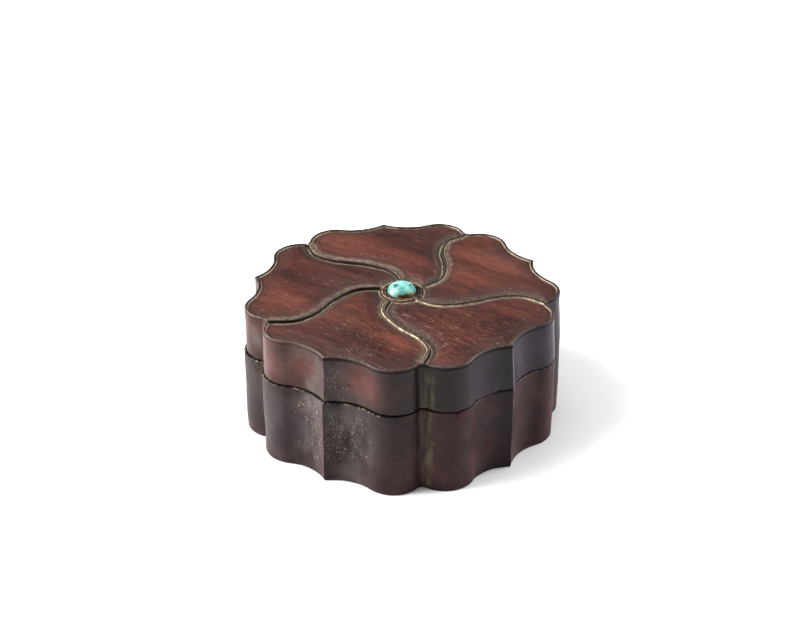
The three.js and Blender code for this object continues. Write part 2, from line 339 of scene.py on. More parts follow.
def marked(count, from_edge=0.0, sunk=0.0, rim=0.0, from_notch=0.0):
    marks = np.zeros((count, len(MARKS)))
    for i, values in enumerate((from_edge, sunk, rim, from_notch)):
        marks[:, i] = values
    return marks


def placed(name, data):
    """A new object in the scene."""
    thing = bpy.data.objects.new(name, data)
    bpy.context.scene.collection.objects.link(thing)
    return thing


# Meshes are gathered from patches, which are joined where they meet

class Patches:
    def __init__(self):
        self.points = []
        self.faces = []
        self.kinds = []
        self.marks = []
        self.count = 0

    def add(self, points, marks):
        """Adds points and the marks of each, a row to a point. Returns the points' numbers."""
        self.points.append(points)
        self.marks.append(marks)
        self.count += len(points)
        return np.arange(self.count - len(points), self.count)

    def add_faces(self, faces, kind):
        self.faces.extend(faces)
        self.kinds.extend([kind] * len(faces))

    def band(self, first, second, kind, closed=True):
        """Faces between two rows of point numbers, facing up if the second lies left of the first."""
        if closed:
            first, second = np.append(first, first[0]), np.append(second, second[0])
        quads = np.stack([first[:-1], first[1:], second[1:], second[:-1]], axis=1)
        self.add_faces(quads.tolist(), kind)

    def fan(self, ring, centre, kind):
        middle = self.add(np.array([centre]), marked(1))[0]
        ahead = np.roll(ring, -1)
        self.add_faces([[a, b, middle] for a, b in zip(ring.tolist(), ahead.tolist())], kind)

    def wall_ring(self, plan, height):
        return self.add(spatial(plan, height), marked(len(plan), from_notch=FROM_NOTCH))

    def made(self, name, finishes, shape):
        """The object, once its points are moved by shape and those that coincide are joined."""
        points = shape(np.concatenate(self.points)) * MM
        marks = np.concatenate(self.marks)
        mesh = bpy.data.meshes.new(name)
        mesh.from_pydata(points.tolist(), [], self.faces)
        mesh.polygons.foreach_set("material_index", self.kinds)
        for i, mark in enumerate(MARKS):
            mesh.attributes.new(mark, "FLOAT", "POINT").data.foreach_set("value", marks[:, i].copy())
        work = bmesh.new()
        work.from_mesh(mesh)
        bmesh.ops.remove_doubles(work, verts=work.verts, dist=2e-6)
        bmesh.ops.dissolve_degenerate(work, edges=work.edges, dist=1e-7)
        work.to_mesh(mesh)
        work.free()
        mesh.polygons.foreach_set("use_smooth", [True] * len(mesh.polygons))
        mesh.set_sharp_from_angle(angle=math.radians(62))
        for finish in finishes:
            mesh.materials.append(finish)
        return placed(name, mesh)


# Kinds of face, in the order of the finishes that a piece is given
TOP, SIDE, INSIDE = 0, 1, 2

# Millimetres along the wall: from a notch to a cusp, and at each point of a flower from the nearest notch
HALF_LENGTH = np.abs(np.diff(half_petal(0))).sum()
FROM_NOTCH = np.tile(np.concatenate([SHARES[0][:-1], 1 - SHARES[0][:-1]]) * HALF_LENGTH, PETALS)


# The base

BELOW_OUTSIDE, ABOVE_OUTSIDE, ABOVE_INSIDE = 0, 1, 2


def rounded(inset, height, radius, corner, steps=3, bite=0.0):
    """Rows of inset, height and depth of chips round an edge of a wall."""
    rows = []
    for t in np.linspace(0, math.pi / 2, steps + 1):
        s, c = math.sin(t), math.cos(t)
        inwards, upwards = [
            (radius * (1 - s), radius * (1 - c)),
            (radius * (1 - c), -radius * (1 - s)),
            (-radius * (1 - s), -radius * (1 - c)),
        ][corner]
        rows.append((inset + inwards, height + upwards, bite))
    return rows


def make_base(finishes):
    patches = Patches()
    seam_bite = chips(flower(0), seed=41, depth=0.55)
    outside = rounded(0, 0, FOOT_ROUND, BELOW_OUTSIDE, steps=4)
    outside += [(0, z, 0.0) for z in np.linspace(1.4, BASE_TOP - 0.9, 26)]
    outside += rounded(0, BASE_TOP, SEAM_ROUND, ABOVE_OUTSIDE, bite=seam_bite)
    outside += [(0.5, BASE_TOP, seam_bite * 0.3)]
    lip_and_hollow = [(LIP_SETBACK - 0.15, BASE_TOP, 0.0), (LIP_SETBACK, BASE_TOP + 0.15, 0.0)]
    lip_and_hollow += rounded(LIP_SETBACK, LIP_TOP, LIP_ROUND, ABOVE_OUTSIDE)
    lip_and_hollow += rounded(WALL, LIP_TOP, LIP_ROUND, ABOVE_INSIDE)
    lip_and_hollow += [(WALL, z, 0.0) for z in np.linspace(LIP_TOP - 3, FLOOR + 3, 6)]
    lip_and_hollow += [(WALL + r, FLOOR + z, 0.0) for r, z in ((0, 1.6), (0.25, 0.8), (0.8, 0.25), (1.6, 0))]
    last = None
    for rows, kind in ((outside, SIDE), (lip_and_hollow, INSIDE)):
        for inset, height, bite in rows:
            plan = flower(inset)
            ring = patches.wall_ring(plan - plan / np.abs(plan) * bite, height - bite)
            if last is None:
                patches.fan(ring[::-1], (0, 0, 0), INSIDE)
            else:
                patches.band(last, ring, kind)
            last = ring
    patches.fan(last, (0, 0, FLOOR), INSIDE)
    return patches.made("hollowed_base", finishes, lambda p: flat_below(carved_by_hand(p, 5), p))


def flat_below(shaped, plain):
    """Keeps the underside flat on the floor."""
    shaped[:, 2] = np.where(plain[:, 2] < 0.05, 0.0, np.maximum(shaped[:, 2], 0.02))
    return shaped


# The lid

RING_DISTANCES = np.concatenate([
    np.linspace(0, BEAD, 9),
    [0.92, 1.0, 1.08, 1.18, 1.35, 1.6, 1.95, 2.35, 2.75, 3.1],
    [FIELD_START, 3.65, 4.0, 4.5, 5.0],
])

# Down the outer flank of a bead and in under it: height against the crest, and how far it stands out
FLANK = [
    (-BEAD_ROUND, 0.0), (-0.42, 0.055), (-0.55, 0.095), (-0.7, 0.10), (-0.85, 0.07), (-0.98, 0.025),
    (-OVERLAP_DEPTH, 0.0),
]

# Across the collar: radius, and height against the crest
SEAT_RADIUS = STONE_RADIUS + 0.07
COLLAR_PROFILE = [
    (6.38, -1.0), (6.3, -0.76), (6.12, -0.58), (5.85, -0.48), (5.5, -0.45), (5.15, -0.47),
    (4.9, -0.53), (4.68, -0.64), (4.5, -0.76), (SEAT_RADIUS, -0.86), (SEAT_RADIUS, -1.3),
]
SEAT_DEPTH = 1.6


def petal_rings(patches, turn):
    """The carved rings of one petal. Returns the numbers of their points, ring by ring."""
    rim = (EDGE_OF_POINT < 2).astype(float)
    sunk = (EDGE_OF_POINT > 2).astype(float)
    # The sunk border ends at the first point, in the notch
    sunk[0] = 1.0
    rings = []
    for distance in RING_DISTANCES:
        plan = np.concatenate([edge[:-1] for edge in petal_edges(distance)]) * turn
        heights = CREST + np.where(sunk > 0, sunk_height(distance), beaded_height(distance))
        ring = patches.add(spatial(plan, heights), marked(len(plan), distance, sunk, rim))
        if rings:
            patches.band(rings[-1], ring, TOP)
        rings.append(ring)
    return rings


def fill_field(patches, ring, outline):
    """The polished field inside a petal's last ring, on a fine triangular grid."""
    edge = np.concatenate(patches.points)[ring]
    contour = edge[:, 0] + 1j * edge[:, 1]
    rows = np.arange(contour.imag.min(), contour.imag.max(), FIELD_SPACING * math.sqrt(3) / 2)
    columns = np.arange(contour.real.min(), contour.real.max(), FIELD_SPACING)
    grid = np.concatenate([columns + 1j * y + (i % 2) * FIELD_SPACING / 2 for i, y in enumerate(rows)])
    grid = grid[lies_within(grid, contour)]
    clearance = np.abs(grid[:, None] - contour[None, :]).min(axis=1)
    grid = grid[clearance > FIELD_SPACING * 0.55]
    seeds = [Vector((p.real, p.imag)) for p in np.concatenate([contour, grid])]
    _, _, faces, origins, _, _ = geometry.delaunay_2d_cdt(seeds, [], [list(range(len(contour)))], 1, 1e-6)
    depth = np.abs(grid[:, None] - outline[None, :]).min(axis=1)
    numbers = patches.add(spatial(grid, CREST + crown(depth)), marked(len(grid), depth))
    owner = np.concatenate([ring, numbers])
    own = [owner[origin[0]] for origin in origins]
    patches.add_faces([[own[i] for i in face] for face in faces], TOP)


def overlap_cliffs(patches, outlines, border):
    """The low cliffs where each petal stands over the start of the next."""
    for k, turn in enumerate(TURNS):
        after = outlines[(k + 1) % PETALS]
        upper = outlines[k][EDGE_STARTS[2]:EDGE_STARTS[3] + 1]
        lower = np.append(after[EDGE_STARTS[4]:], after[0])[::-1]
        below = lower
        for drop, _ in FLANK[-2:0:-1]:
            row = patches.add(spatial(border * turn, CREST + drop), marked(len(border)))
            # The cliff runs out at the collar
            row[-1] = lower[-1]
            patches.band(below, row, TOP, closed=False)
            below = row
        patches.band(below, upper, TOP, closed=False)


def rim_flank(patches, outlines):
    """The outer flank of the beads round the lid. Returns its lowest ring."""
    per_petal = 2 * HALF_STEPS
    past_notch = ease(FROM_NOTCH, 0.0, 1.2)
    above = [outline[:EDGE_STARTS[2]] for outline in outlines]
    notches = [outline[EDGE_STARTS[2]] for outline in outlines]
    for drop, stand_out in FLANK[1:]:
        plan = flower(LID_TOP_INSET - stand_out) * past_notch + flower(LID_TOP_INSET) * (1 - past_notch)
        ring = patches.wall_ring(plan, CREST + drop)
        if (drop, stand_out) == FLANK[-1]:
            starts = ring[::per_petal]
            ends = np.roll(starts, -1)
        else:
            # A petal starts sunk in one notch, and its bead ends high over the next
            starts = [outline[0] for outline in outlines]
            ends = patches.add(spatial(np.roll(plan[::per_petal], -1), CREST + drop), marked(PETALS))
        for k in range(PETALS):
            row = ring[k * per_petal:(k + 1) * per_petal].copy()
            row[0] = starts[k]
            patches.band(np.append(row, ends[k]), np.append(above[k], notches[k]), SIDE, closed=False)
            above[k] = row
            notches[k] = ends[k]
    return ring


def lid_wall(patches, rows, kind, last):
    """Rings below the last one on the outside, or above it in the hollow. Returns the new last ring."""
    for plan, height in rows:
        ring = patches.wall_ring(plan, height)
        patches.band(ring, last, kind)
        last = ring
    return last


def lid_side(patches, rim):
    """The lid's wall, from below its rim down to the chipped edge at the seam. Returns its last ring."""
    top = CREST - OVERLAP_DEPTH
    to_right = unit(VIEW_AZIMUTH)
    edge = flower(LID_FOOT_INSET) + LEAN * to_right
    low = SEAM - SETTLED * ease((edge / to_right).real, -12, 25)
    rows = []
    for t in np.linspace(0, 1, 16)[1:]:
        inset = LID_TOP_INSET + (LID_FOOT_INSET - LID_TOP_INSET) * t
        rows.append((flower(inset) + LEAN * to_right * t, top + (low + 0.2 - top) * t))
    bite = chips(edge, seed=77, depth=0.5)
    inward = -edge / np.abs(edge)
    rows.append((edge + inward * (bite + 0.03), low + 0.07 + bite))
    rows.append((edge + inward * (bite + 0.12), low + bite * 0.3))
    return lid_wall(patches, rows, SIDE, rim)


def lid_hollow(patches, foot):
    rebate = LIP_SETBACK - FIT
    rows = [(rebate - 0.2, SEAM), (rebate, SEAM + 0.2), (rebate, LIP_TOP + FIT), (WALL, LIP_TOP + FIT)]
    rows += [(WALL, CEILING - 1.2), (WALL + 0.35, CEILING - 0.35), (WALL + 1.2, CEILING)]
    last = lid_wall(patches, [(flower(inset), height) for inset, height in rows], INSIDE, foot)
    patches.fan(last[::-1], (0, 0, CEILING), INSIDE)


def collar(patches, feet):
    """The carved collar round the stone, closed below by its seat."""
    below = np.concatenate([foot[::-1][:-1] for foot in feet])
    places = np.concatenate(patches.points)[below]
    plan = places[:, 0] + 1j * places[:, 1]
    for radius, drop in COLLAR_PROFILE:
        row = patches.add(spatial(plan * radius / np.abs(plan), CREST + drop), marked(len(plan), 0.5, 1.0))
        patches.band(below, row, TOP)
        below = row
    patches.fan(below, (0, 0, CREST - SEAT_DEPTH), TOP)


def make_lid(finishes):
    patches = Patches()
    edges = petal_edges(0)
    first_outline = np.concatenate([edge[:-1] for edge in edges])
    outlines = []
    for turn in TURNS:
        rings = petal_rings(patches, turn)
        fill_field(patches, rings[-1], first_outline * turn)
        outlines.append(rings[0])
    overlap_cliffs(patches, outlines, edges[2])
    rim = rim_flank(patches, outlines)
    foot = lid_side(patches, rim)
    lid_hollow(patches, foot)
    collar(patches, [outline[EDGE_STARTS[3]:EDGE_STARTS[4] + 1] for outline in outlines])
    return patches.made("carved_lid", finishes, lambda p: carved_by_hand(p, 23))


# The stone

def make_stone(finish):
    """The turquoise: a bevelled foot, a straight girdle and a dome, slightly uneven."""
    patches = Patches()
    ring = np.exp(2j * math.pi * np.arange(STONE_STEPS) / STONE_STEPS)
    girdle = STONE_FOOT + GIRDLE_HEIGHT
    top = STONE_TOP + DOME_RISE
    rows = [
        (STONE_RADIUS - STONE_BEVEL, STONE_FOOT),
        (STONE_RADIUS - 0.07, STONE_FOOT + 0.07),
        (STONE_RADIUS, STONE_FOOT + STONE_BEVEL),
    ]
    for t in np.linspace(0, math.pi / 2, 26)[:-1]:
        rows.append((STONE_RADIUS * math.cos(t), girdle + (top - girdle) * math.sin(t)))
    below = None
    for radius, height in rows:
        row = patches.add(spatial(ring * radius, height), marked(STONE_STEPS))
        if below is None:
            patches.fan(row[::-1], (0, 0, STONE_FOOT), TOP)
        else:
            patches.band(below, row, TOP)
        below = row
    patches.fan(below, (0, 0, top), TOP)
    return patches.made("domed_turquoise", [finish], lambda p: p + wander(p, 4.2, 3) * 0.03)


# Places and colours for the finishes

def seen(right, away, height):
    """A place or a direction in the object's frame, given as seen from the front of the picture."""
    place = complex(right, away) * unit(VIEW_AZIMUTH)
    return (place.real, place.imag, height)


def tint(red, green, blue):
    """A colour given as it looks on a screen, from 0 to 255."""
    def linear(value):
        value /= 255
        return value / 12.92 if value <= 0.04045 else ((value + 0.055) / 1.055) ** 2.4
    return (linear(red), linear(green), linear(blue), 1.0)


# The direction of the grain in the plan
GRAIN = math.radians(-9)

CREAM = tint(190, 177, 150)
DULL_CREAM = tint(150, 134, 110)
DARK_DUST = tint(64, 54, 47)
GREY_DUST = tint(94, 84, 73)
LIGHT_DUST = tint(130, 120, 103)
PALE_SPECK = tint(206, 200, 188)
# A near-black for open pores and dark mottling, and for painted shade in gaps, on cliffs and under the rim
DARK_AND_SHADE = tint(16, 11, 10)


# Tools for the finishes

class Signal:
    """A shader socket that can be used in sums like a number; each operation adds a Math node."""

    def __init__(self, nodes, socket):
        self.nodes = nodes
        self.socket = socket

    def maths(self, operation, *values):
        return self.nodes.add("ShaderNodeMath", {"operation": operation}, dict(enumerate(values)))

    def __add__(self, other):
        return self.maths("ADD", self, other)

    __radd__ = __add__

    def __mul__(self, other):
        return self.maths("MULTIPLY", self, other)

    __rmul__ = __mul__

    def __sub__(self, other):
        return self.maths("SUBTRACT", self, other)

    def __rsub__(self, other):
        return self.maths("SUBTRACT", other, self)

    def __truediv__(self, other):
        return self.maths("DIVIDE", self, other)

    def __rtruediv__(self, other):
        return self.maths("DIVIDE", other, self)


class Nodes:
    """A node tree, and the few kinds of node that the recipes need."""

    def __init__(self, tree):
        self.tree = tree
        self.tree.nodes.clear()
        self.place = self.add("ShaderNodeTexCoord", {}, {}, "Object")

    def add(self, kind, settings, sockets, out=0):
        """Any node: its type, its settings, then the values or links of its sockets. Gives one output."""
        node = self.tree.nodes.new(kind)
        for name, value in settings.items():
            if name == "stops":
                self.set_stops(node.color_ramp, value)
            else:
                setattr(node, name, value)
        for name, value in sockets.items():
            if isinstance(value, Signal):
                self.tree.links.new(value.socket, node.inputs[name])
            else:
                node.inputs[name].default_value = value
        return Signal(self, node.outputs[out]) if node.outputs else None

    def set_stops(self, ramp, stops):
        while len(ramp.elements) < len(stops):
            ramp.elements.new(1.0)
        for element, (position, colour) in zip(ramp.elements, stops):
            element.position = position
            element.color = colour

    def mark(self, name):
        return self.add("ShaderNodeAttribute", {"attribute_name": name}, {}, "Fac")

    def stretched(self, along, across, vector=None):
        """Coordinates in which one unit is that many millimetres along the grain and across it."""
        size = (along * MM, across * MM, across * MM)
        sockets = {"Vector": vector or self.place, "Rotation": (0, 0, GRAIN), "Scale": size}
        return self.add("ShaderNodeMapping", {"vector_type": "TEXTURE"}, sockets)

    def upright(self, across, height):
        """Coordinates in which one unit is that many millimetres sideways and upwards."""
        sockets = {"Vector": self.place, "Scale": (across * MM, across * MM, height * MM)}
        return self.add("ShaderNodeMapping", {"vector_type": "TEXTURE"}, sockets)

    def vectors(self, operation, values, out=0):
        return self.add("ShaderNodeVectorMath", {"operation": operation}, dict(enumerate(values)), out)

    def towards(self, right, away):
        """Millimetres from the axis in a level direction, given as seen from the front of the picture."""
        return self.vectors("DOT_PRODUCT", (self.place, seen(right, away, 0)), "Value") / MM

    def height(self):
        return self.add("ShaderNodeSeparateXYZ", {}, {0: self.place}, "Z") / MM

    def from_axis(self):
        """Millimetres from the box's axis."""
        level = self.vectors("MULTIPLY", (self.place, (1, 1, 0)))
        return self.vectors("LENGTH", (level,), "Value") / MM

    def bent(self, size, amount):
        """The place, swayed by that many millimetres over a size."""
        sway = self.noise(self.place, 1 / (size * MM), out="Color")
        centred = self.vectors("SUBTRACT", (sway, (0.5, 0.5, 0.5)))
        return self.vectors("MULTIPLY_ADD", (centred, (amount * MM,) * 3, self.place))

    def noise(self, vector, scale=1.0, detail=2.0, roughness=0.5, out=0):
        sockets = {"Vector": vector, "Scale": scale, "Detail": detail, "Roughness": roughness}
        return self.add("ShaderNodeTexNoise", {}, sockets, out)

    def cloud(self, size, detail=3.0):
        """Noise whose patches are about that many millimetres across."""
        return self.noise(self.place, 1 / (size * MM), detail)

    def cells(self, vector, out):
        return self.add("ShaderNodeTexVoronoi", {}, {"Vector": vector, "Scale": 1.0}, out)

    def step(self, value, low, high, start=0.0, end=1.0):
        """A smooth change from start to end while the value goes from low to high."""
        sockets = {"Value": value, "From Min": low, "From Max": high, "To Min": start, "To Max": end}
        return self.add("ShaderNodeMapRange", {"interpolation_type": "SMOOTHSTEP"}, sockets)

    def between(self, value, low, high, soft):
        """1 while the value is between low and high, with soft ends."""
        rise = self.step(value, low - soft, low + soft)
        return rise * self.step(value, high - soft, high + soft, 1.0, 0.0)

    def mix(self, share, under, over):
        return self.add("ShaderNodeMix", {"data_type": "RGBA"}, {0: share, 6: under, 7: over}, 2)

    def ramp(self, value, *stops):
        return self.add("ShaderNodeValToRGB", {"stops": stops}, {"Fac": value}, "Color")

    def near(self, place, reach):
        """1 at a place, given as seen from the front, falling to nothing at a reach."""
        centre = tuple(v * MM for v in seen(*place))
        away = self.vectors("DISTANCE", (self.place, centre), "Value")
        return self.step(away, 0.0, reach * MM, 1.0, 0.0)

    def patches(self, *patches):
        """The sum of soft patches, each given by its place, its reach and its strength."""
        return sum(self.near(place, reach) * strength for place, reach, strength in patches)


class Finish(Nodes):
    """The recipe of a material."""

    def __init__(self, name):
        self.material = bpy.data.materials.new(name)
        self.material.use_nodes = True
        super().__init__(self.material.node_tree)

    def surface(self, colour, roughness, height, relief, fixed):
        """Ends the recipe. height is in units of relief millimetres, and fixed has plain socket values."""
        bump = self.add("ShaderNodeBump", {}, {"Height": height, "Distance": relief * MM, "Strength": 1.0})
        sockets = {"Base Color": colour, "Roughness": roughness, "Normal": bump, **fixed}
        shader = self.add("ShaderNodeBsdfPrincipled", {}, sockets)
        self.add("ShaderNodeOutputMaterial", {}, {"Surface": shader})
        return self.material


# What the woods share

def fibres(look):
    """Short fine fibres along the grain, from 0 to 1."""
    return look.noise(look.stretched(4.2, 0.3, look.bent(14, 1.0)), detail=3.0, roughness=0.65)


def figure(look):
    """Broad stretches of tone with streaks along the grain, from 0 to 1."""
    swayed = look.bent(22, 3.0)
    broad = look.noise(look.stretched(55, 10, swayed))
    streaks = look.noise(look.stretched(24, 1.3, swayed), detail=3.0, roughness=0.6)
    return broad * 0.68 + streaks * 0.32


def hairlines(look):
    """Fine level lines along a wall, from 0 to 1."""
    return look.noise(look.upright(9, 0.24), detail=3.0, roughness=0.7)


def scattered(look, field, density, channel, spot_edge, strengths):
    """A spot in some of a field's cells, picked by a channel of chance: how much of a place is a spot."""
    chance = look.cells(field, "Color")
    chosen = look.add("ShaderNodeSeparateColor", {}, {"Color": chance}, channel)
    strength = look.add("ShaderNodeSeparateColor", {}, {"Color": chance}, "Blue")
    spot = look.step(look.cells(field, "Distance"), *spot_edge, 1.0, 0.0)
    return spot * look.step(density - chosen, 0.0, 0.05) * look.step(strength, *strengths)


def pores(look, along, across, density):
    """Open pores along the grain, each at most half as big as its cell."""
    field = look.stretched(along, across, look.bent(9, 0.4))
    return scattered(look, field, density, "Red", (0.14, 0.32), (0.0, 1.0, 0.2, 1.0))


def specks(look, across, height, density):
    """Loose pale specks, each in a cell of that many millimetres: most of them faint, some bright."""
    field = look.upright(across, height)
    return scattered(look, field, density, "Green", (0.12, 0.36), (0.35, 1.0, 0.3, 1.0))


# The finish of the lid's carved top

def polished_fields(look, fibre, from_edge):
    """The red-brown fields of the petals. Gives their colour, and how deep a place is pitted."""
    tone = figure(look) * 0.74 + look.step(fibre, 0.2, 0.8) * 0.26
    tone = tone + (fibre - 0.5) * look.step(look.towards(0, 1), -20.0, -4.0, 0.3, 0.0)
    wood = look.ramp(
        tone,
        (0.36, tint(48, 31, 30)),
        (0.45, tint(70, 43, 39)),
        (0.54, tint(90, 55, 47)),
        (0.68, tint(116, 72, 60)),
    )
    glowing = look.patches(
        ((24, 16, CREST), 26, 1.0),
        ((-3, 31, CREST), 20, 0.15),
        ((20, -16, CREST), 16, 0.4),
        ((0, -33, CREST), 11, 0.9),
    )
    wood = look.mix(glowing * look.step(tone, 0.3, 0.6, 0.5, 1.0) * 0.32, wood, tint(146, 90, 72))
    by_margin = look.step(from_edge + look.cloud(9) * 4, 4.0, 9.5, 1.0, 0.0)
    wood = look.mix(by_margin * 0.5, wood, tint(70, 50, 48))
    # Painted sheen: broad greyish patches over the fields
    wood = look.mix(look.step(look.cloud(26), 0.45, 0.7) * 0.3, wood, tint(84, 66, 64))
    wood = look.mix(look.near((-22, -21, CREST), 15) * 0.5, wood, tint(88, 60, 56))
    wood = look.mix(look.near((-14, -29, CREST), 12) * 0.45, wood, tint(60, 38, 36))

    crowded = look.patches(((14, -20, CREST), 17, 1.0), ((-9, -28, CREST), 18, 1.3))
    density = look.step(look.cloud(12, 2.0), 0.4, 0.7, 0.05, 0.25) + crowded * 0.35
    dashes = pores(look, 5.0, 0.48, density)
    dots = pores(look, 1.2, 0.6, density * 0.8)
    wood = look.mix(dashes * 0.65, wood, tint(176, 148, 132))
    wood = look.mix(dots * 0.6, wood, tint(176, 150, 132))
    wood = look.mix(pores(look, 4.0, 0.5, 0.4) * 0.6, wood, tint(32, 20, 19))
    return wood, dashes + dots * 0.6


def collar_wood(look, worn, radius):
    """The dark collar with two pale lines round it, painted shade in the gap beside the stone, and painted
    shade over its right side.
    """
    wood = look.mix(look.step(worn, 0.35, 0.65), tint(44, 29, 25), tint(98, 64, 54))
    wood = look.mix(look.step(radius, 4.5, 4.9, 1.0, 0.0), wood, DARK_AND_SHADE)
    # Painted shade over the collar's right side, where the pale lines fade too
    painted_shade_side = look.step(look.towards(0.9, 0.4), 0.0, 4.5)
    wood = look.mix(painted_shade_side * 0.65, wood, DARK_AND_SHADE)
    outer_line = look.between(radius + (worn - 0.5) * 0.3, COLLAR_RADIUS - 0.55, COLLAR_RADIUS - 0.3, 0.08)
    inner_line = look.between(radius, 4.9, 5.1, 0.08) * 0.8
    line = (outer_line + inner_line) * (1 - painted_shade_side * 0.7)
    return look.mix(line * look.step(worn, 0.36, 0.56), wood, DULL_CREAM)


def carved_lid_wood():
    """Polished red-brown fields, dusty margins and pale dust in the channels, with painted shade on the
    overlaps' cliffs, a painted highlight on the beads' crests and painted shade on the far beads.
    """
    look = Finish("carved_lid_wood")
    from_edge = look.mark("from_edge")
    sunk = look.mark("sunk")
    beaded = 1 - sunk
    rim = look.mark("rim")
    # Masks for the painted light on the beads: painted shade on the far rim and on the borders to the right
    # and at the back, and a weaker painted highlight along the near rim
    far_rim = rim * look.step(look.towards(0, 1), -18.0, 6.0)
    near_rim = rim * look.step(look.towards(0, 1), -34.0, -22.0, 1.0, 0.0)
    painted_shade_right_back = look.step(look.towards(0.8, 0.6), 0.0, 12.0)
    fibre = fibres(look)
    worn = look.cloud(1.5, 4.0)
    mottle = look.noise(look.place, 1 / (0.7 * MM), 4.0, 0.75)

    colour, pits = polished_fields(look, fibre, from_edge)
    frayed = from_edge + (look.cloud(2.6, 4.0) - 0.5) * 1.6 + rim * 1.1
    margin = look.step(frayed, 0.9, FIELD_START + 0.05, 1.0, 0.0)
    margin = margin * (look.step(from_edge, 0.9, 1.1) * beaded + sunk)
    dusty = look.ramp(mottle, (0.32, DARK_DUST), (0.52, GREY_DUST), (0.7, LIGHT_DUST))
    dusty = look.mix(look.between(frayed, 0.8, 2.0, 0.4) * beaded * 0.55, dusty, tint(148, 136, 118))
    colour = look.mix(margin * (0.82 - rim * 0.32), colour, dusty)
    colour = look.mix(specks(look, 0.6, 0.6, 0.45) * look.step(margin, 0.1, 0.7) * 0.5, colour, PALE_SPECK)

    on_bead = look.step(from_edge, BEAD - 0.09, BEAD + 0.03, 1.0, 0.0) * beaded
    # Painted highlight: a pale broken line along each bead's crest, weaker on the rims and in the painted
    # shade to the right and at the back
    crest = look.between(from_edge, 0.1, 0.4, 0.08) * look.step(worn, 0.36, 0.58, 0.2, 1.0)
    crest = crest * (0.75 - rim * 0.1 - far_rim * 0.62 - near_rim * 0.3) * (1 - painted_shade_right_back * 0.8)
    # The bead's own wood, with painted shade on the far rim and on the beads to the right and at the back
    bead_wood = look.mix(fibre, tint(38, 26, 23), tint(74, 52, 45))
    bead_wood = look.mix(far_rim * 0.85 + painted_shade_right_back * (1 - rim) * 0.6, bead_wood, tint(18, 12, 11))
    colour = look.mix(on_bead, colour, look.mix(crest, bead_wood, tint(130, 118, 103)))
    # Painted shade on the low cliff where a petal's edge dives under the next
    cliff = look.step(from_edge, 0.1, 0.34, 1.0, 0.0) * sunk
    colour = look.mix(cliff, colour, DARK_AND_SHADE)

    own_line = look.between(from_edge + (worn - 0.5) * 0.25, BEAD - 0.03, BEAD + CHANNEL + 0.01, 0.07)
    own_line = own_line * beaded * (1 - rim * 0.5 + far_rim * 0.15) * (1 - painted_shade_right_back * 0.3)
    sunk_line = look.between(from_edge + (worn - 0.5) * 0.3, 0.3, 0.72, 0.09) * sunk
    line = (own_line + sunk_line) * look.step(look.cloud(6), 0.36, 0.54, 0.5, 0.95)
    colour = look.mix(line, colour, look.mix(look.step(worn, 0.35, 0.65), DULL_CREAM, CREAM))

    radius = look.from_axis()
    on_collar = look.step(radius, COLLAR_RADIUS - 0.2, COLLAR_RADIUS, 1.0, 0.0)
    colour = look.mix(on_collar, colour, collar_wood(look, worn, radius))

    dull = look.step(margin + line + cliff + on_bead * 0.6, 0.0, 1.0)
    roughness = 0.34 + fibre * 0.16 + dull * 0.4
    height = fibre * 0.5 - pits + (mottle - 0.5) * margin * 1.5 + line * worn
    return look.surface(colour, roughness, height, 0.05, {"Specular IOR Level": 0.4})


# The finishes of the two walls

def lid_side_wood():
    """The lid's wall: smooth red-brown with a soft shine, and on the right painted shade turning into a
    painted cool blue-grey reflection.
    """
    look = Finish("lid_side_wood")
    tone = figure(look) * 0.55 + hairlines(look) * 0.45
    wood = look.ramp(tone, (0.38, tint(40, 27, 27)), (0.5, tint(58, 36, 34)), (0.64, tint(86, 53, 46)))
    reddest = look.patches(((-12, -45, 34), 10, 1.0), ((-35, -32, 34), 14, 1.0))
    wood = look.mix(reddest * 0.42, wood, tint(108, 62, 54))
    # Painted highlight: a light streak down the left lobe's edge
    wood = look.mix(look.near((-38, -26, 34), 8) * 0.5, wood, tint(116, 86, 80))
    rightwards = look.towards(1, 0)
    # Painted light on the right: painted shade at the front, turning into a painted cool blue-grey
    # reflection further right, with less grey film and painted sheen there
    shade_and_sheen_right = look.step(rightwards, -16.0, 10.0)
    shade_and_sheen_wood = look.mix(look.step(rightwards, 12.0, 26.0), tint(22, 11, 13), tint(48, 42, 53))
    wood = look.mix(shade_and_sheen_right * 0.85, wood, shade_and_sheen_wood)
    return side_finish(look, wood, tone, 0.5 - shade_and_sheen_right * 0.44, 0.26, 0.35)


def base_side_wood():
    """The base's wall: darker and greyer, with redder stretches on the right and painted sheen on its left
    lobes.
    """
    look = Finish("base_side_wood")
    tone = figure(look) * 0.6 + hairlines(look) * 0.4
    wood = look.ramp(tone, (0.38, tint(36, 26, 28)), (0.5, tint(50, 34, 35)), (0.64, tint(68, 46, 46)))
    redder = look.step(look.towards(1, 0), -10.0, 8.0)
    red_wood = look.mix(look.step(tone, 0.36, 0.66), tint(30, 13, 15), tint(72, 36, 38))
    wood = look.mix(redder * 0.8, wood, red_wood)
    # Painted sheen: grey over the base's left lobes
    wood = look.mix(look.near((-45, -8, 14), 16) * 0.7, wood, tint(46, 48, 51))
    wood = look.mix(look.near((-37, -27, 14), 17) * 0.6, wood, tint(66, 61, 64))
    return side_finish(look, wood, tone, 0.55 - redder * 0.3, 0.36, 0.28)


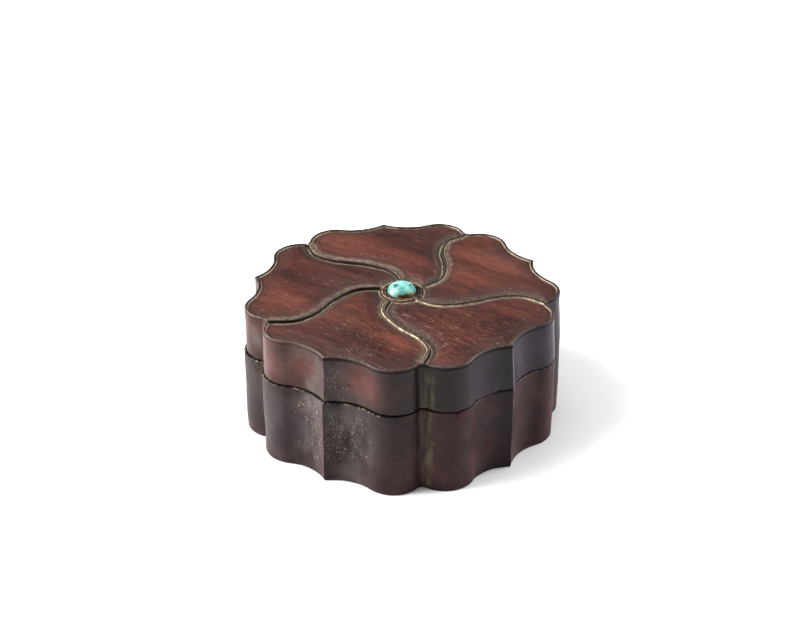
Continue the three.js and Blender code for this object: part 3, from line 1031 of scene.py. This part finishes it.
def side_finish(look, wood, tone, film_and_sheen_share, roughness, shine):
    """What both walls share, over a wall's own wood: pores, a grey film with painted sheen, dust, specks,
    pale chips, and the painted light at the right cusp, in the seam and under the rim.
    """
    from_notch = look.mark("from_notch")
    colour = look.mix(look.step(look.cloud(8, 4.0), 0.42, 0.66) * 0.35, wood, DARK_AND_SHADE)
    colour = look.mix(pores(look, 2.6, 1.1, 0.3) * 0.75, colour, DARK_AND_SHADE)
    # A thin grey film all over, with painted sheen in the hollows and on a few stretches on the left
    film = grey_film_and_sheen(look, from_notch)
    colour = look.mix(film * film_and_sheen_share, colour, tint(88, 83, 80))
    streak = notch_dust(look, from_notch)
    colour = look.mix(streak * 0.75, colour, tint(124, 118, 98))
    dust = loose_dust(look)
    colour = look.mix(dust * 0.8, colour, PALE_SPECK)
    colour = right_cusp(look, colour, from_notch)
    colour = seam_shade_and_chips(look, colour)
    colour = shade_under_rim(look, colour)
    under_rim = look.step(look.height(), CREST - 1.5, CREST - 0.9)
    rough = roughness + tone * 0.12 + film * 0.12 + streak * 0.35 + under_rim * 0.4
    return look.surface(colour, rough, tone * 0.6 + dust * 0.6, 0.03, {"Specular IOR Level": shine})


def grey_film_and_sheen(look, from_notch):
    """A blotchy grey film, thin all over, with painted sheen making it thicker in the hollows and thickest
    on a few stretches on the left.
    """
    hollow = look.step(from_notch, HALF_LENGTH * 0.35, HALF_LENGTH * 0.75)
    painted_sheen_patches = look.patches(
        ((-27, -37, 26), 9, 1.3),
        ((-16, -43, 17), 12, 1.0),
        ((-13, -44, 5), 8, 1.0),
        ((-41.5, -16.5, 34), 6, 2.0),
        ((-41.5, -16.5, 20), 7, 1.0),
    )
    blotches = look.noise(look.upright(6, 11), detail=5.0, roughness=0.6)
    return look.step(blotches, 0.34, 0.66) * (0.25 + hollow * 0.45 + painted_sheen_patches * 0.8)


def notch_dust(look, from_notch):
    """Pale dust in the notches, and a streak on the right flank of the one at the picture's front."""
    valley = look.step(from_notch + (look.cloud(3) - 0.5) * 3.5, 0.6, 5.2, 1.0, 0.0)
    lengths = look.step(look.noise(look.upright(1.6, 9), detail=4.0), 0.42, 0.62)
    gaps = look.step(look.noise(look.upright(0.5, 1.4), detail=4.0, roughness=0.7), 0.4, 0.64, 0.25, 1.0)
    at_front = look.step(look.patches(((8, -44, 10), 14, 1.0), ((8, -44, 30), 14, 1.0)), 0.1, 0.6)
    at_front = at_front * look.step(look.towards(1, 0), 5.2, 6.6)
    flank = look.between(from_notch + (look.cloud(3) - 0.5) * 2.0, 1.0, 3.2, 1.1) * at_front
    flank = flank * look.step(look.noise(look.upright(1.3, 5), detail=5.0), 0.34, 0.62, 0.25, 1.0)
    return valley * lengths * gaps * 0.35 + flank * 0.85


def loose_dust(look):
    """Pale specks in clusters, most of them on the hollows left of the front."""
    crowded = look.patches(
        ((-27, -38, 20), 10, 1.0),
        ((-27, -38, 8), 8, 1.0),
        ((-18, -43, 16), 15, 1.0),
        ((-19, -42, 33), 8, 1.0),
        ((-45, -5, 14), 9, 0.5),
    )
    clusters = look.step(look.noise(look.upright(1.8, 4.5), detail=4.0, roughness=0.65), 0.4, 0.62, 0.1, 1.0)
    density = clusters * (0.03 + look.step(crowded, 0.05, 0.8) * 0.85)
    return specks(look, 0.36, 0.45, density) + specks(look, 0.65, 0.9, density * 0.1)


def right_cusp(look, colour, from_notch):
    """The cusp on the picture's right: a painted highlight down its edge, and painted shade on the wall
    before it.
    """
    past_edge = look.towards(0.73, 0.69)
    # Painted highlight down the cusp's edge
    pale = look.step(from_notch, HALF_LENGTH - 1.1, HALF_LENGTH - 0.3) * look.step(past_edge, 0.0, 0.4)
    colour = look.mix(pale * look.near((33, -34, 36), 26), colour, tint(160, 158, 168))
    # Painted shade on the wall before the cusp
    dim = look.step(from_notch, HALF_LENGTH - 9, HALF_LENGTH - 2) * look.step(past_edge, -0.5, 0.0, 1.0, 0.0)
    return look.mix(dim * look.step(look.towards(1, 0), 20.0, 27.0) * 0.45, colour, DARK_AND_SHADE)


def seam_shade_and_chips(look, colour):
    """Painted shade in the seam between lid and base, and pale chips along its edges, most of them on the
    left.
    """
    height = look.height()
    rightwards = look.towards(1, 0)
    ragged = look.cloud(0.9) - 0.5
    # Painted shade in the gap of the seam, faint on the right where the lid sits closest
    joint = look.between(height + ragged * 0.5, BASE_TOP - 0.22, SEAM + 0.16, 0.08)
    colour = look.mix(joint * look.step(rightwards, 6.0, 20.0, 0.85, 0.1), colour, DARK_AND_SHADE)
    lower_edge = look.between(height + ragged * 0.9, BASE_TOP - 0.24, BASE_TOP + 0.3, 0.06)
    upper_edge = look.between(height, SEAM - 0.1, SEAM + 0.12, 0.06) * 0.4
    chipped = look.step(look.cloud(5, 4.0), 0.42, 0.6) * look.step(look.cloud(0.7), 0.42, 0.6)
    chipped = chipped * look.step(rightwards, -14.0, 8.0, 1.0, 0.12)
    return look.mix((lower_edge + upper_edge) * chipped * 0.7, colour, DULL_CREAM)


def shade_under_rim(look, colour):
    """Painted shade: a dark line under the lid's rim, faint on the far left."""
    line = look.between(look.height() + (look.cloud(2.5) - 0.5) * 0.3, CREST - 1.3, CREST - 0.36, 0.08)
    share = look.step(look.towards(1, 0), -30.0, -20.0, 0.2) * look.step(look.cloud(9), 0.36, 0.6, 0.6, 0.95)
    return look.mix(line * share, colour, DARK_AND_SHADE)


# The finishes of the hollow and of the stone

def cut_wood():
    """Plain cut wood of the hollow, the seam and the underside, with painted shade on the faces inside the
    seam.
    """
    look = Finish("cut_wood")
    fibre = fibres(look)
    wood = look.ramp(fibre, (0.3, tint(44, 26, 22)), (0.55, tint(66, 38, 32)), (0.8, tint(90, 56, 44)))
    tool_marks = look.noise(look.stretched(3, 0.4), detail=3.0)
    colour = look.mix(look.step(tool_marks, 0.55, 0.75) * 0.4, wood, tint(110, 82, 64))
    # Painted shade on the faces inside the seam, so the gap between lid and base reads dark
    colour = look.mix(look.between(look.height(), BASE_TOP - 0.3, LIP_TOP - 0.8, 0.2), colour, DARK_AND_SHADE)
    height = fibre + tool_marks * 0.5
    return look.surface(colour, 0.6 + tool_marks * 0.2, height, 0.05, {"Specular IOR Level": 0.35})


def dark_veins(look):
    """Two short broken veins, and a blot beside one of them."""
    crack = look.add(
        "ShaderNodeTexVoronoi",
        {"feature": "DISTANCE_TO_EDGE"},
        {"Vector": look.bent(1.6, 1.2), "Scale": 1 / (1.7 * MM)},
        "Distance",
    )
    here = look.patches(((-1.9, -0.7, 42.6), 1.9, 1.0), ((2.8, -0.3, 42), 1.7, 1.0))
    vein = look.step(crack, 0.02, 0.24, 1.0, 0.0) * look.step(here, 0.1, 0.5)
    vein = vein * look.step(look.cloud(0.7), 0.42, 0.56, 0.1, 1.0)
    return vein + look.near((-1.7, -0.9, 42.6), 1.1) * look.step(look.cloud(0.5), 0.38, 0.52)


def turquoise():
    """Blue-green stone with paler clouds, a few dark veins and a brown patch at one edge, with a painted
    highlight on its top and lower left and painted shade on its left.
    """
    look = Finish("turquoise")
    clouds = look.cloud(2.4, 4.0)
    stone = look.ramp(
        clouds,
        (0.3, tint(74, 138, 136)),
        (0.46, tint(100, 162, 154)),
        (0.58, tint(134, 184, 172)),
        (0.7, tint(182, 208, 194)),
    )
    # Painted highlight: the top of the dome paler
    stone = look.mix(look.near((0.6, 2.2, 43), 5) * 0.8, stone, tint(152, 206, 199))
    # Painted shade: the left of the stone darker
    stone = look.mix(look.near((-4.2, -1.0, 41), 3.6) * 0.85, stone, tint(66, 100, 94))
    on_right = look.near((4.2, -1, 41), 3.5)
    stone = look.mix(on_right * 0.85, stone, tint(46, 124, 122))
    # Painted highlight: a pale grey patch on the lower left
    stone = look.mix(look.near((-2.2, -3.2, 41.4), 2.8) * 0.6, stone, tint(134, 136, 124))
    vein = dark_veins(look)
    stone = look.mix(vein, stone, tint(24, 52, 54))
    low = look.step(look.height() + (look.cloud(1.4) - 0.5) * 1.6, 41.1, 41.5, 1.0, 0.0)
    brown = look.mix(look.step(clouds, 0.4, 0.6), tint(96, 62, 22), tint(104, 98, 50))
    stone = look.mix(low * look.step(look.near((2.0, -3.7, 40.7), 4.2), 0.05, 0.3), stone, brown)
    height = 0 - vein * 0.6 - clouds * 0.1
    fixed = {"Specular IOR Level": 0.35, "Coat Weight": 0.08, "Coat Roughness": 0.2}
    return look.surface(stone, 0.34 + vein * 0.2 + on_right * 0.4, height, 0.04, fixed)


# The pieces

lid_finishes = [carved_lid_wood(), lid_side_wood(), cut_wood()]
base_finishes = [lid_finishes[INSIDE], base_side_wood(), lid_finishes[INSIDE]]
lid = make_lid(lid_finishes)
base = make_base(base_finishes)
stone = make_stone(turquoise())
for piece, node, slot in (
    (lid, "box_lid", "lid_wood"),
    (base, "box_base", "base_wood"),
    (stone, "turquoise_cabochon", "turquoise"),
):
    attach(piece, "root")
    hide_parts(node)


# Floor, light and camera, in metres

FLOOR_WIDTH = 6.0

# The camera is this far from a point on the axis at the aim's height, and this many degrees above it
CAMERA_DISTANCE = 0.462
CAMERA_ELEVATION = 28.18
AIM_HEIGHT = 0.04053

# The lens and its shifts are measured in pixels of a picture that is 800 of them wide
PICTURE_WIDTH = 800
FOCAL_LENGTH = 1538
SHIFT_RIGHT = -1.7
SHIFT_UP = -29.3
SENSOR_MILLIMETRES = 36.0


def facing_from(direction):
    """The rotation of a lamp or camera that looks back at the box from a direction."""
    return (-direction).to_track_quat("-Z", "Y").to_euler()


def distant_lamp(name, direction, angle, power, colour=(1, 1, 1)):
    """A lamp far off in a direction, given as seen from the front, as wide as an angle in degrees."""
    light = bpy.data.lights.new(name, "SUN")
    light.angle = math.radians(angle)
    light.energy = power
    light.color = colour
    placed(name, light).rotation_euler = facing_from(Vector(seen(*direction)))


def pale_floor():
    look = Finish("pale_floor")
    tone = look.ramp(look.noise(look.place, 6.0), (0.3, (0.83, 0.83, 0.83, 1)), (0.7, (0.85, 0.85, 0.85, 1)))
    roughness = 0.9 + look.noise(look.place, 40.0) * 0.05
    material = look.surface(tone, roughness, look.noise(look.place, 900.0), 0.02, {})
    half = FLOOR_WIDTH / 2
    corners = [(-half, -half, 0), (half, -half, 0), (half, half, 0), (-half, half, 0)]
    mesh = bpy.data.meshes.new("floor")
    mesh.from_pydata(corners, [], [(0, 1, 2, 3)])
    mesh.materials.append(material)
    floor = placed("floor", mesh)


def overhead_glow():
    """A bright ceiling that fades to a dim horizon."""
    world = bpy.data.worlds.new("studio")
    world.use_nodes = True
    sky = Nodes(world.node_tree)
    direction = sky.add("ShaderNodeTexCoord", {}, {}, "Generated")
    height = sky.add("ShaderNodeSeparateXYZ", {}, {0: direction}, "Z")
    glow = sky.step(height, 0.6, 0.98, 0.12, 1.8)
    background = sky.add("ShaderNodeBackground", {}, {"Color": (1, 1, 1, 1), "Strength": glow})
    sky.add("ShaderNodeOutputWorld", {}, {"Surface": background})
    bpy.context.scene.world = world


def studio():
    pale_floor()
    overhead_glow()
    distant_lamp("key", (-30, -9, 41), 17, 1.35)
    distant_lamp("low_left", (-30, 1.5, 4.5), 40, 13.5)
    distant_lamp("low_right", (30, 8, 5), 40, 7.0, (0.97, 0.98, 1.0))
    view = bpy.context.scene.view_settings
    view.view_transform = "Standard"
    view.gamma = 0.8


def camera():
    """The camera at the picture's viewing angle, in front of the box and above it."""
    lens = bpy.data.cameras.new("camera")
    lens.sensor_width = SENSOR_MILLIMETRES
    lens.lens = FOCAL_LENGTH / PICTURE_WIDTH * SENSOR_MILLIMETRES
    lens.shift_x = SHIFT_RIGHT / PICTURE_WIDTH
    lens.shift_y = SHIFT_UP / PICTURE_WIDTH
    lens.clip_start = 0.01
    elevation = math.radians(CAMERA_ELEVATION)
    back = Vector(seen(0, -math.cos(elevation), math.sin(elevation)))
    holder = placed("camera", lens)
    holder.location = Vector((0, 0, AIM_HEIGHT)) + CAMERA_DISTANCE * back
    holder.rotation_euler = facing_from(back)
    bpy.context.scene.camera = holder


studio()
camera()
